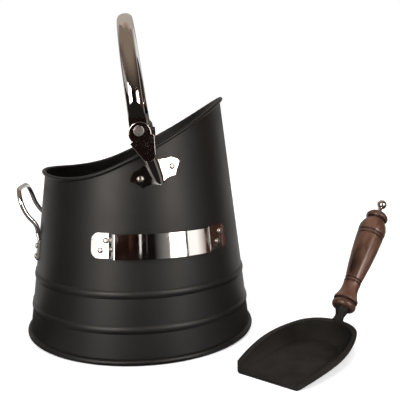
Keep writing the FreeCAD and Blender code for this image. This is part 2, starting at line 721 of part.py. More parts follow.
def pivot_rivets():
    """Pivots along Z from the bucket's middle plane outwards, turned to each side."""
    face = f"{EAR_OUTER} + fit_gap"
    tail = f"{PIVOT_TAIL} - pivot_tail_height"
    profile = [
        ("0", tail),
        ("pivot_tail_radius", tail),
        ("pivot_tail_radius", f"{PIVOT_TAIL}"),
        ("pivot_radius", f"{PIVOT_TAIL}"),
        ("pivot_radius", face),
        ("pivot_head_radius", face),
        ("pivot_head_radius", f"{face} + pivot_head_height - pivot_head_edge"),
        ("pivot_head_radius - pivot_head_edge", f"{face} + pivot_head_height", "pivot_head_edge", 1),
        ("0", f"{face} + pivot_head_height"),
    ]
    made = []
    for side, sign in (("right", -1), ("left", 1)):
        body = revolved(f"{side}_pivot", profile)
        turn = FreeCAD.Rotation(UP, ALONG_Y * sign)
        body.Placement = FreeCAD.Placement(V(d.pivot_forward, 0, PIVOT_Z), turn)
        made.append(labelled(body, f"pivot_rivet_{side}"))
    return made


# Bail

def pressed_form(at):
    """What is left of a leg between the press's faces: a flat end, opening to the whole tube above it."""
    flat, top = d.flat_sheet / 2, d.bail_neck + d.bail_half_width
    inner, outer = at.y + d.bail_half_depth, at.y - d.bail_half_depth
    low = -2 * d.flat_half_width
    places = [
        (flat - FLAT_MIDDLE, low), (flat - FLAT_MIDDLE, d.flat_length), (inner, d.bail_neck), (inner, top),
        (outer, top), (outer, d.bail_neck), (-flat - FLAT_MIDDLE, d.flat_length), (-flat - FLAT_MIDDLE, low),
    ]
    width = 2 * d.flat_half_width
    points = [V(-width, y, z) for y, z in places]
    return Part.Face(Part.makePolygon(points + points[:1])).extrude(ALONG_X * (2 * width))


def bail_leg(at, tube):
    """The right leg below the arch: a tapered leg, pressed flat, with a round end about the pivot."""
    half = d.flat_half_width
    foot = Part.Circle(V(0, -FLAT_MIDDLE, -half), UP, half)
    foot.XAxis = ALONG_X
    leg = Part.makeLoft([Part.Wire(ring.toShape()) for ring in (foot, tube)], True, True)
    round_end = Part.makeCylinder(half, 2 * FLAT_MIDDLE, ORIGIN, ALONG_Y * -1)
    above = Part.makeBox(4 * half, 2 * FLAT_MIDDLE, 2 * d.bail_neck, V(-2 * half, -2 * FLAT_MIDDLE, 0))
    leg = leg.common(pressed_form(at)).common(round_end.fuse(above))
    pin = d.pivot_radius + d.pivot_gap
    return leg.cut(Part.makeCylinder(pin, 2 * FLAT_MIDDLE, ORIGIN, ALONG_Y * -1))


def bail():
    """The bail upright in the YZ plane, with its pivot on the Y axis."""
    arch_radius = FLAT_MIDDLE
    start = math.asin((d.bail_neck - d.bail_rise) / arch_radius)
    middle = V(0, 0, d.bail_rise)

    def on_arch(angle):
        return middle + V(0, -math.cos(angle), math.sin(angle)) * arch_radius

    path = Part.Wire(Part.Arc(on_arch(start), on_arch(math.pi / 2), on_arch(math.pi - start)).toShape())
    at = on_arch(start)
    inward = V(0, math.cos(start), -math.sin(start))
    tube = Part.Ellipse(at + ALONG_X * d.bail_half_width, at + inward * d.bail_half_depth, at)
    arch = path.makePipeShell([Part.Wire(tube.toShape())], True, False)
    leg = bail_leg(at, tube)
    return arch.fuse([leg, leg.mirror(ORIGIN, ALONG_Y)]).removeSplitter()


def bail_handle():
    turn = FreeCAD.Rotation(ALONG_Y, -d.bail_lean)
    place = FreeCAD.Placement(V(d.pivot_forward, 0, PIVOT_Z), turn)
    return labelled(feature("bail", bail(), place), "bail_handle")


# Shovel strap

def strap_point(angle, radius, height):
    a = math.radians(strap_azimuth(angle))
    return V(radius * math.cos(a), radius * math.sin(a), height)


def bend(before, corner, after):
    """The arc that rounds a corner of the strap, and where it starts and ends."""
    start = corner + (before - corner).normalize() * d.strap_bend
    end = corner + (after - corner).normalize() * d.strap_bend
    turn = (corner - before).getAngle(after - corner)
    share = math.tan(turn / 4) / math.sin(turn / 2)
    via = corner + ((start + end) / 2 - corner) * share
    return start, via, end


def strap_side(height, out, spread):
    """One face of the strap at one height: a tab, a sloped step, the raised part, a step and a tab."""
    step = math.degrees(d.strap_stand / STRAP_RADIUS)
    trim = math.degrees(d.strap_bend / STRAP_RADIUS)
    low = wall_radius(height) + d.seat_gap + out
    high = low + d.strap_stand
    start, end = d.raised_start - spread, d.raised_end + spread
    runs = [(low, d.strap_start, start - step), (high, start, end), (low, end + step, d.strap_end)]
    arcs, bends = [], []
    for i, (radius, first, final) in enumerate(runs):
        first_trim = trim if i > 0 else 0
        final_trim = trim if i < 2 else 0
        angles = (first + first_trim, (first + final) / 2, final - final_trim)
        arcs.append([strap_point(a, radius, height) for a in angles])
    edges = [Part.Arc(*points).toShape() for points in arcs]
    for i in (0, 1):
        foot = strap_point(runs[i][2], runs[i][0], height)
        top = strap_point(runs[i + 1][1], runs[i + 1][0], height)
        leave = bend(arcs[i][2], foot, top)
        arrive = bend(foot, top, arcs[i + 1][0])
        edges.append(Part.Arc(arcs[i][2], leave[1], leave[2]).toShape())
        edges.append(Part.LineSegment(leave[2], arrive[0]).toShape())
        edges.append(Part.Arc(arrive[0], arrive[1], arcs[i + 1][0]).toShape())
    return edges


def strap_section(height):
    """The strap's whole outline at one height."""
    spread = math.degrees(d.strap_sheet * math.tan(math.pi / 8) / STRAP_RADIUS)
    edges = strap_side(height, 0, 0) + strap_side(height, d.strap_sheet, spread)
    for angle in (d.strap_start, d.strap_end):
        radius = wall_radius(height) + d.seat_gap
        ends = [strap_point(angle, radius + out, height) for out in (0, d.strap_sheet)]
        edges.append(Part.LineSegment(*ends).toShape())
    return Part.Wire(Part.__sortEdges__(edges))


def corner_cutter(angle, side):
    """What is cut away to round a tab's corners. Side is 1 where the strap ends, -1 where it starts."""
    azimuth = math.radians(strap_azimuth(angle))
    away = V(-math.sin(azimuth), math.cos(azimuth), 0) * side
    turn = FreeCAD.Rotation(away, UP, away.cross(UP), "XYZ")
    half, corner, depth = d.strap_width / 2, d.strap_corner, 2 * d.overrun
    keep = Part.makeBox(2 * corner, d.strap_width, 2 * depth, V(-2 * corner, -half, -depth))
    ends = [e for e in edges_along(keep, UP) if e.CenterOfMass.x > -corner]
    keep = keep.makeFillet(corner, ends)
    low = V(-corner, -half - d.overrun, -depth)
    tool = Part.makeBox(corner + d.overrun, d.strap_width + 2 * d.overrun, 2 * depth, low).cut(keep)
    tool.Placement = FreeCAD.Placement(strap_point(angle, STRAP_RADIUS, d.strap_level), turn)
    return tool


def shovel_strap():
    half = d.strap_width / 2
    strap = Part.makeLoft([strap_section(d.strap_level + s * half) for s in (-1, 1)], True, True)
    cutters = [corner_cutter(d.strap_start, -1), corner_cutter(d.strap_end, 1)]
    blank = feature("strap_blank", strap.cut(cutters))
    holes = feature("strap_holes", Part.makeCompound(rivet_holes(STRAP_LOW_SIDE + STRAP_LIP_SIDE)))
    return labelled(boolean("Part::Cut", "strap", blank, holes), "shovel_strap")


# Loop handle

def loop_wall_x(height):
    """Where the wall is behind a leg of the loop."""
    return -math.sqrt(wall_radius(height) ** 2 - d.loop_half_span ** 2)


def loop_rod():
    """The bent rod: each leg leaves the wall, leans out and rises to a straight top with round corners."""
    start_z = d.loop_rod_start
    wall_x = loop_wall_x(start_z)
    stand = (d.seat_gap + d.loop_rod_radius) * wall_radius(start_z) / abs(wall_x)
    at = V(wall_x - stand, -d.loop_half_span, start_z)
    lean = -math.atan(TAPER)
    edges = []

    def heading(angle):
        return V(-math.sin(angle), 0, math.cos(angle))

    def bend(at, lean, to, radius):
        chord = 2 * radius * math.sin(abs(to - lean) / 2)
        end = at + heading((lean + to) / 2) * chord
        edges.append(arc_leaving(at, heading(lean), end))
        return end

    legs_lean, top_lean = math.radians(d.loop_lean), math.radians(d.loop_top_lean)
    first = at
    at = bend(at, lean, legs_lean, d.loop_root_bend)
    run = at + heading(legs_lean) * d.loop_run
    edges.append(Part.LineSegment(at, run).toShape())
    at = bend(run, legs_lean, top_lean, d.loop_top_bend)
    top = at + (heading(top_lean) + ALONG_Y) * d.loop_corner
    edges.append(arc_leaving(at, heading(top_lean), top))
    left = [edge.mirror(ORIGIN, ALONG_Y) for edge in edges]
    edges.append(Part.LineSegment(top, V(top.x, -top.y, top.z)).toShape())
    path = Part.Wire(Part.__sortEdges__(edges + left))
    ring = Part.Wire(Part.Circle(first, heading(lean), d.loop_rod_radius).toShape())
    return path.makePipeShell([ring], True, False), first, heading(lean)


def loop_foot(start, heading):
    """The right foot: a rounded plate on the wall, and the rod's end flattened into it."""
    y, half = -d.loop_half_span, d.loop_foot_half_width
    low, top = d.loop_foot_low + half, d.loop_foot_top
    places = [(-half, top), (-half, low), (0, low - half), (half, low), (half, top)]
    points = [V(0, y + across, z) for across, z in places]
    outline = Part.Wire([
        Part.LineSegment(points[0], points[1]).toShape(),
        Part.Arc(*points[1:4]).toShape(),
        Part.LineSegment(points[3], points[4]).toShape(),
        Part.LineSegment(points[4], points[0]).toShape(),
    ])
    plate = Part.Face(outline).extrude(ALONG_X * -2 * d.wall_foot_radius)
    plate = plate.common(layer(d.seat_gap, d.loop_foot_sheet))
    lap = top - d.loop_foot_lap
    place = wall_place(loop_azimuth(lap), lap)
    normal = place.Rotation.multVec(UP)
    across = UP.cross(normal).normalize()
    middle = place.Base + normal * (d.seat_gap + d.loop_foot_sheet / 2)
    flat = Part.Ellipse(middle + across * half, middle + normal * (d.loop_foot_sheet / 2), middle)
    ring = Part.Circle(start, heading, d.loop_rod_radius)
    side = across - heading * across.dot(heading)
    ring.XAxis = side.normalize()
    joint = Part.makeLoft([Part.Wire(flat.toShape()), Part.Wire(ring.toShape())], True, True)
    return plate.fuse(joint.cut(cone(d.seat_gap)))


def loop_handle():
    rod, start, heading = loop_rod()
    foot = loop_foot(start, heading)
    whole = rod.fuse([foot, foot.mirror(ORIGIN, ALONG_Y)]).removeSplitter()
    blank = feature("loop_blank", whole)
    holes = feature("loop_holes", Part.makeCompound(rivet_holes(LOOP_RIGHT + LOOP_LEFT)))
    return labelled(boolean("Part::Cut", "loop", blank, holes), "loop_handle")


# Shovel: X runs from its front edge to its handle

SHOVEL_PLACE = FreeCAD.Placement(
    V(d.shovel_forward, d.shovel_side, 0), FreeCAD.Rotation(UP, d.shovel_turn)
)
HANDLE_IN_SHOVEL = FreeCAD.Placement(
    V(d.handle_reach, 0, d.handle_level), FreeCAD.Rotation(ALONG_Y, FULL_TURN / 4 - d.handle_angle)
)
HANDLE_PLACE = SHOVEL_PLACE.multiply(HANDLE_IN_SHOVEL)


def along_handle(distance):
    """A placement on the handle's axis, with Z along it."""
    return HANDLE_PLACE.multiply(FreeCAD.Placement(V(0, 0, distance), FreeCAD.Rotation()))


def pan_contour(height, inset):
    """The pan's outline at one height: straight front, bowed sides and a round back."""
    front = d.pan_front_half - FRONT_FLARE_SHARE * inset
    half = d.pan_half_width - inset
    length = d.pan_length - BACK_FLARE_SHARE * inset
    small = d.pan_back_radius - inset / 2
    run = length - small - d.pan_widest
    turn = 2 * math.atan((half - small) / run)
    large = run / math.sin(turn) + small
    ahead = d.pan_widest + d.overrun
    drop = (half - front) * (ahead / d.pan_widest) ** 2
    bow = (ahead ** 2 + drop ** 2) / (2 * drop)

    def side_arc(centre, radius, angles, side):
        points = [centre + V(math.sin(a), math.cos(a), 0) * radius for a in angles]
        return Part.Arc(*[V(p.x, side * p.y, height) for p in points]).toShape()

    def half_edges(side):
        nose = math.asin(ahead / bow)
        join = V(d.pan_widest, half - large, 0)
        back = V(length - small, 0, 0)
        return [
            side_arc(V(d.pan_widest, half - bow, 0), bow, (-nose, -nose / 2, 0), side),
            side_arc(join, large, (0, turn / 2, turn), side),
            side_arc(back, small, (turn, (turn + math.pi / 2) / 2, math.pi / 2), side),
        ]

    edges = half_edges(1) + half_edges(-1)
    ends = [V(-d.overrun, side * (half - drop), height) for side in (1, -1)]
    edges.append(Part.LineSegment(*ends).toShape())
    return Part.Wire(Part.__sortEdges__(edges))


def pan_form(lift, inset):
    """The dished form of the pan, raised and drawn in by its thickness for the inside."""
    rows = [(h * d.pan_depth + lift, f * d.pan_flare + inset) for h, f in CONTOUR_SHARES]
    return Part.makeLoft([pan_contour(*row) for row in rows], True)


def pan_plan():
    """The plan of the pan at its front: a straight edge with rounded ends and two cut corners."""
    nose, run = d.pan_nose_half, d.pan_corner_run
    wide = 2 * d.pan_corner_half - nose
    back = d.pan_length + d.overrun
    places = [(0, -nose), (2 * run, -wide), (back, -wide), (back, wide), (2 * run, wide), (0, nose)]
    points = [V(x, y, -d.overrun) for x, y in places]
    block = Part.Face(Part.makePolygon(points + points[:1])).extrude(UP * (2 * d.pan_depth))
    ends = [edge for edge in edges_along(block, UP) if edge.CenterOfMass.x < run]
    return block.makeFillet(d.pan_nose_round, ends)


def above_rim():
    """Everything above the pan's rim and in front of its edge."""
    width = d.pan_half_width + d.overrun
    top = d.pan_depth + 2 * d.overrun
    ends = (V(0, -width, d.pan_rim_front), V(d.pan_length + d.overrun, -width, d.pan_rim_back))
    middle = V(d.pan_length / 2, -width, d.pan_rim_middle)
    corners = (V(ends[1].x, -width, top), V(-2 * d.overrun, -width, top))
    front = (V(-2 * d.overrun, -width, -d.overrun), V(0, -width, -d.overrun))
    outline = Part.Wire([
        Part.Arc(ends[0], middle, ends[1]).toShape(),
        Part.LineSegment(ends[1], corners[0]).toShape(),
        Part.LineSegment(corners[0], corners[1]).toShape(),
        Part.LineSegment(corners[1], front[0]).toShape(),
        Part.LineSegment(front[0], front[1]).toShape(),
        Part.LineSegment(front[1], ends[0]).toShape(),
    ])
    return Part.Face(outline).extrude(ALONG_Y * (2 * width))


def neck():
    """The neck, turned about the handle's axis: a root, a waist and a wide top with the rod's socket."""
    root, waist, top = d.neck_root_radius, d.neck_waist_radius, d.neck_top_radius
    base, length = -d.pan_wall, d.neck_length
    hole, floor = d.rod_radius + d.fit_gap, length - d.rod_socket - d.fit_gap
    middle = length / 3
    places = [(0, -d.neck_depth), (root, base), (waist, middle), (top, length), (hole, length)]
    points = [V(radius, 0, z) for radius, z in places]
    bulge = V(waist + (root - waist) / 4, 0, base + (middle - base) / 2)
    under = V(d.neck_end_radius, 0, -d.neck_depth)
    outline = Part.Wire([
        Part.LineSegment(points[0], under).toShape(),
        Part.Arc(under, V(root, 0, (base - d.neck_depth) / 2), points[1]).toShape(),
        Part.Arc(points[1], bulge, points[2]).toShape(),
        Part.LineSegment(points[2], points[3]).toShape(),
        Part.LineSegment(points[3], points[4]).toShape(),
        Part.LineSegment(points[4], V(hole, 0, floor)).toShape(),
        Part.LineSegment(V(hole, 0, floor), V(0, 0, floor)).toShape(),
        Part.LineSegment(V(0, 0, floor), points[0]).toShape(),
    ])
    turned = Part.Face(outline).revolve(ORIGIN, UP, FULL_TURN)
    turned.Placement = HANDLE_IN_SHOVEL
    return turned


def shovel_pan():
    rim = above_rim()
    inside = pan_form(d.pan_floor, d.pan_wall)
    dish = pan_form(0, 0).common(pan_plan()).cut([rim, inside])
    solid = dish.fuse(neck().cut(inside.cut(rim)))
    return labelled(feature("pan", solid.removeSplitter(), SHOVEL_PLACE), "shovel_pan")


def shovel_tie_rod():
    rod = doc.addObject("Part::Cylinder", "tie_rod")
    rod.setExpression("Radius", bound("rod_radius"))
    rod.setExpression("Height", bound("rod_socket + grip_length + rod_in_finial"))
    rod.Placement = along_handle(d.neck_length - d.rod_socket)
    return labelled(rod, "shovel_tie_rod")


def groove(radius, share):
    """Three corners of a turned groove at a height on the grip."""
    level = f"grip_length * {share}"
    return [
        (radius, f"{level} - groove_width / 2"),
        (f"{radius} - groove_depth", level),
        (radius, f"{level} + groove_width / 2"),
    ]


def shovel_grip():
    hole = "rod_radius + fit_gap"
    bead = "(grip_bead_height ^ 2 / 4 + (grip_bead_radius - grip_seam_radius) ^ 2)"
    bead_arc = f"({bead} / (2 * (grip_bead_radius - grip_seam_radius)))"
    collar = "(grip_collar_radius - grip_throat_radius)"
    waist_low, waist_high = [groove("grip_waist_radius", share) for share in WAIST_GROOVE_SHARES]
    barrel_low, barrel_high = [groove("grip_barrel_radius", share) for share in BARREL_GROOVE_SHARES]
    body = revolved("grip", [
        (hole, "0"),
        ("grip_seam_radius", "0"),
        ("grip_seam_radius", "grip_bead_height", bead_arc, 1),
        ("grip_flare_radius", f"grip_length * {GRIP_FLARE_SHARES[0]}"),
        ("grip_flare_radius", f"grip_length * {GRIP_FLARE_SHARES[1]}"),
        (*waist_low[0], "grip_flare_sweep", -1),
        *waist_low[1:],
        *waist_high,
        (*barrel_low[0], "grip_barrel_sweep", 1),
        *barrel_low[1:],
        *barrel_high,
        ("grip_throat_radius", f"grip_length * {THROAT_SHARES[0]}", "grip_shoulder_sweep", 1),
        (f"grip_throat_radius + {collar} / 2", f"grip_length * {THROAT_SHARES[1]}"),
        (
            f"grip_throat_radius + {collar} / 2", f"grip_length * {COLLAR_TOP_SHARE}",
            "grip_collar_sweep", 1,
        ),
        (f"grip_collar_radius * {GRIP_END_SHARE}", "grip_length"),
        (hole, "grip_length"),
    ])
    body.Placement = along_handle(d.neck_length + d.fit_gap)
    return labelled(body, "shovel_grip")


def ball_finial():
    hole, depth = "rod_radius + fit_gap", "rod_in_finial"
    under = "(ball_level - sqrt(ball_radius ^ 2 - finial_neck_radius ^ 2))"
    body = revolved("finial", [
        (hole, "0"),
        ("finial_base_radius", "0"),
        ("finial_base_radius", "finial_base_height"),
        ("finial_neck_radius", under, "finial_sweep", -1),
        ("ball_radius", "ball_level", "ball_radius", 1),
        ("0", "ball_level + ball_radius", "ball_radius", 1),
        ("0", depth),
        (hole, depth),
    ])
    body.Placement = along_handle(d.neck_length + d.grip_length + 2 * d.fit_gap)
    return labelled(body, "ball_finial")


def rivets():
    on_leaf = rivet("leaf_rivet", "leaf_sheet")
    on_strap = rivet("strap_rivet", "strap_sheet")
    on_loop = rivet("loop_rivet", "loop_foot_sheet")
    doc.recompute()
    return [
        rivet_group("bracket_rivets_right", on_leaf, BRACKET_RIGHT),
        rivet_group("bracket_rivets_left", on_leaf, BRACKET_LEFT),
        rivet_group("strap_rivets_low_side", on_strap, STRAP_LOW_SIDE),
        rivet_group("strap_rivets_lip_side", on_strap, STRAP_LIP_SIDE),
        rivet_group("loop_rivets_right", on_loop, LOOP_RIGHT),
        rivet_group("loop_rivets_left", on_loop, LOOP_LEFT),
    ]


nodes = [bucket_shell(), rim_wire(), base_plate(), *brackets(), *pivot_rivets(), *rivets()]
nodes += [shovel_strap(), loop_handle(), bail_handle()]
nodes += [shovel_pan(), shovel_tie_rod(), shovel_grip(), ball_finial()]
doc.recompute()

for made in doc.Objects:
    if {"Invalid", "Error"} & set(made.State):
        raise RuntimeError(f"{made.Name} failed: {made.State}")
for node in nodes:
    if node.Shape.isNull() or not node.Shape.isValid() or not node.Shape.Solids:
        raise RuntimeError(f"{node.Label} has no valid shape")

os.makedirs("parts", exist_ok=True)
for node in nodes:
    node.Shape.exportStep(f"parts/{node.Label}.step")
    print(f"{node.Label}: {len(node.Shape.Solids)} solids, {node.Shape.Volume / 1000:.2f} cm3")
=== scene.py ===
import json
import math

import bpy
from mathutils import Matrix, Vector

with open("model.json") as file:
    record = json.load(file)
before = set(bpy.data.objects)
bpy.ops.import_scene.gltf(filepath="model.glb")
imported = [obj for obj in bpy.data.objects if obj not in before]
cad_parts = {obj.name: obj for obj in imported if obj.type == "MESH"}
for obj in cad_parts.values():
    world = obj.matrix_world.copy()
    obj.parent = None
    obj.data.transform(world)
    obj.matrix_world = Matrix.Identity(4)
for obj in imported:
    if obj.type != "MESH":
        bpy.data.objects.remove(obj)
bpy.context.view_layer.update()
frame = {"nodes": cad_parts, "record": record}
nodes = frame["nodes"]
MM = 0.001

# Camera, fitted to the photograph's view
CAMERA_PLACE = Vector((24.4, -758.5, 271.9)) * MM
CAMERA_AIM = Vector((0.067, 0.986, -0.151)).normalized()
CAMERA_ROLL = math.radians(-0.55)
CAMERA_LENS = 55.4
SENSOR = 36.0
CLIP_START, CLIP_END = 0.01, 100.0

# Light: the world's soft fill, and each soft box's bearing, height, distance, size and power
FILL = 0.34
WHITE = (1.0, 1.0, 1.0, 1.0)
LAMP_AIM = Vector((0.05, 0.0, 0.15))
LAMPS = {
    "left_box": (-42, 1.0, 1.9, (0.7, 1.6), 33),
    "right_box": (45, 1.0, 1.9, (1.0, 1.6), 27),
    "top_box": (10, 2.4, 0.5, (1.6, 1.6), 20),
}

# The floor, and its glow to the eye: less close by, where the shadow lies, and white far off
FLOOR_REACH = 30.0
FLOOR_LEVEL = -0.3 * MM
FLOOR_TONE = (0.86, 0.86, 0.86, 1.0)
GLOW_CLOSE, GLOW_FAR = 0.4, 0.76
GLOW_START, GLOW_END = 0.4, 1.4

# The shovel's handle: where its axis leaves the pan, its two turns, and where the grip lies along it
HANDLE_BASE = Vector((235.07, -67.9, 18.7)) * MM
HANDLE_TURN = (0.0, math.radians(45), math.radians(47.9))
GRIP_START = 15.5 * MM
GRIP_LENGTH = 141 * MM
# Its grain: waves to the metre, twice across the grip and once along it, and the tones of the dark ones
BROAD_WAVES, FIBRE_WAVES, FIGURE_WAVES = (55.0, 55.0, 9.0), (620.0, 620.0, 22.0), (48.0, 48.0, 20.0)
FIBRE_TONE = (0.05, 0.019, 0.011)
FIGURE_TONE = (0.032, 0.0115, 0.0075)
# Its turned grooves along the grip, painted darker this far from the middle of each
GROOVE_SHARES = (0.064, 0.25, 0.281, 0.738, 0.772, 0.936)
GROOVE_REACH = 1.3 * MM
GROOVE_TONE = (0.018, 0.007, 0.005)
# The bead and the cap, dark from handling: the middle of each along the grip, and half its length
END_SHARES = ((0.03, 0.034), (0.97, 0.034))
HANDLED = (0.018, 0.0085, 0.006)
# A dark knot in the wood, from the start of the axis, and how far it is drawn out along the grain
KNOT = Vector((-14.8, 0.2, 70.0)) * MM
KNOT_SHARE = 0.4
KNOT_CORE, KNOT_EDGE, KNOT_RAGGED = 4 * MM, 11 * MM, 3 * MM
KNOT_TONE = (0.011, 0.0032, 0.0022)

# How far the painted shade reaches from the inner corners of the pan
PAINTED_SHADE_REACH = 70 * MM
PAINTED_SHADE = (0.003, 0.0026, 0.0022)

# What reflections show round the object, as patches of a dome: two bearings from the camera's side
# towards the lip, two elevations, the tone at each bearing, and the share of it at the lower edge.
# Angles are in degrees, and a face of a patch spans about one step.
ROOM_MIDDLE = Vector((0.0, 0.0, 0.15))
ROOM_RADIUS = 2.2
ROOM_STEP = 6.0
BLACK = (0.006, 0.0045, 0.004)
DARK = (0.016, 0.012, 0.01)
BROWN = (0.05, 0.024, 0.016)
MAROON = (0.013, 0.005, 0.0038)
STRIP = (0.06, 0.026, 0.016)
LINE = (0.1, 0.09, 0.085)
TAUPE = (0.235, 0.178, 0.136)
BEIGE = (0.46, 0.41, 0.35)
PALE = (1.0, 0.97, 0.94)
BOX = (10.4, 9.65, 9.1)
BOX_SIDE = (1.3, 1.26, 1.22)
EDGE = (0.95, 0.91, 0.87)
GREY = (0.42, 0.405, 0.39)
SLOPE = (0.3, 0.29, 0.28)
WARM = (0.4, 0.33, 0.28)
BOX_LOW = (5.7, 5.3, 5.0)
BOX_FOOT = (4.45, 4.15, 3.9)
# Elevations that many patches share: below the floor's edge, the top of what the strap shows, the
# top of the soft boxes, and two bands of the ceiling
FOOT, STRAP_TOP, BOX_TOP, CEILING, CROWN = -6, 5.5, 31, 64, 72


def patch(start, end, low, high, first, last=None, share=1.0):
    """A row of the room, with one tone unless a second is given."""
    return start, end, low, high, first, last or first, share


ROOM = [
    patch(-215, -145, FOOT, 26, GREY, share=0.7),
    patch(-145, -108, FOOT, 8, PALE, DARK),
    patch(-145, -108, 8, 40, GREY, DARK),
    patch(-108, -55, FOOT, 16, DARK),
    patch(-108, -55, 16, BOX_TOP, GREY),
    patch(-108, -55, BOX_TOP, 40, TAUPE, share=0.2),
    patch(-55, -45, FOOT, STRAP_TOP, BOX_SIDE, share=0.9),
    patch(-52, -42, STRAP_TOP, BOX_TOP, BOX_SIDE, share=0.9),
    patch(-55, -52, STRAP_TOP, BOX_TOP, DARK),
    patch(-45, -24, FOOT, STRAP_TOP, BOX_LOW, share=0.63),
    patch(-42, -20, STRAP_TOP, BOX_TOP, BOX, share=0.55),
    patch(-24, -9, FOOT, STRAP_TOP, MAROON),
    patch(-20, -9, STRAP_TOP, BOX_TOP, MAROON),
    patch(-9, -4, 1, STRAP_TOP, STRIP, MAROON),
    patch(-9, -4, STRAP_TOP, BOX_TOP, MAROON),
    patch(-9, -4, FOOT, 1, MAROON),
    patch(-4, 1.2, FOOT, BOX_TOP, MAROON, BLACK),
    patch(1.2, 3.2, 0.6, STRAP_TOP, EDGE),
    patch(1.2, 3.2, STRAP_TOP, BOX_TOP, BLACK),
    patch(1.2, 3.2, FOOT, 0.6, BLACK),
    patch(3.2, 8.2, FOOT, BOX_TOP, BLACK),
    patch(8.2, 8.9, 0.6, STRAP_TOP, LINE),
    patch(8.2, 8.9, STRAP_TOP, BOX_TOP, BLACK),
    patch(8.2, 8.9, FOOT, 0.6, BLACK),
    patch(8.9, 16, FOOT, BOX_TOP, BLACK),
    patch(16, 32, FOOT, STRAP_TOP, BLACK, SLOPE),
    patch(16, 29, STRAP_TOP, BOX_TOP, BLACK, EDGE),
    patch(32, 48.8, FOOT, STRAP_TOP, BOX_FOOT, share=0.45),
    patch(29, 49.4, STRAP_TOP, BOX_TOP, BOX, share=0.45),
    patch(48.8, 51.2, FOOT, STRAP_TOP, DARK),
    patch(49.4, 50.6, STRAP_TOP, BOX_TOP, DARK),
    patch(51.2, 62, FOOT, STRAP_TOP, BOX_SIDE, share=0.9),
    patch(62, 72, FOOT, STRAP_TOP, BOX_SIDE, WARM, share=0.9),
    patch(50.6, 72, STRAP_TOP, 12, BOX_SIDE),
    patch(50.6, 72, 12, BOX_TOP, TAUPE, BROWN),
    patch(72, 75, FOOT, BOX_TOP, BROWN),
    patch(75, 77, FOOT, 12, EDGE),
    patch(75, 77, 12, BOX_TOP, BROWN),
    patch(77, 112, FOOT, BOX_TOP, BROWN),
    patch(112, 145, FOOT, 8, BROWN, PALE),
    patch(112, 145, 8, 40, BROWN, GREY),
    patch(-55, 112, BOX_TOP, CEILING, TAUPE, share=0.08),
    patch(-100, -55, 40, CEILING, TAUPE, share=0.4),
    patch(-145, -100, 40, CEILING, TAUPE),
    patch(112, 145, 40, CEILING, TAUPE),
    patch(-145, 145, CEILING, CROWN, TAUPE),
    patch(-215, -145, 26, 58, BEIGE),
    patch(-215, -145, 58, CROWN, TAUPE, share=2.0),
    patch(-180, 180, CROWN, 90, TAUPE),
]
# The same for the floor: two bearings, two distances from the middle and a tone
FLOOR_FLAG_LEVEL = -0.15 * MM
FOOT_EDGE, SHADE_EDGE, FAR_EDGE = 0.137, 0.22, 2.18
FLOOR_ROOM = [
    (-150, -105, FOOT_EDGE, SHADE_EDGE, (0.05, 0.045, 0.04)),
    (-150, -105, SHADE_EDGE, FAR_EDGE, (0.75, 0.72, 0.69)),
    (-105, -62, FOOT_EDGE, FAR_EDGE, (0.04, 0.036, 0.032)),
    (-62, -20, FOOT_EDGE, FAR_EDGE, (0.2, 0.19, 0.18)),
    (-20, 24, FOOT_EDGE, FAR_EDGE, (0.014, 0.012, 0.011)),
    (24, 62, FOOT_EDGE, FAR_EDGE, (0.18, 0.17, 0.16)),
    (62, 112, FOOT_EDGE, FAR_EDGE, (0.03, 0.024, 0.02)),
    (112, 210, FOOT_EDGE, SHADE_EDGE, (0.05, 0.045, 0.04)),
    (112, 210, SHADE_EDGE, FAR_EDGE, (0.8, 0.78, 0.76)),
]


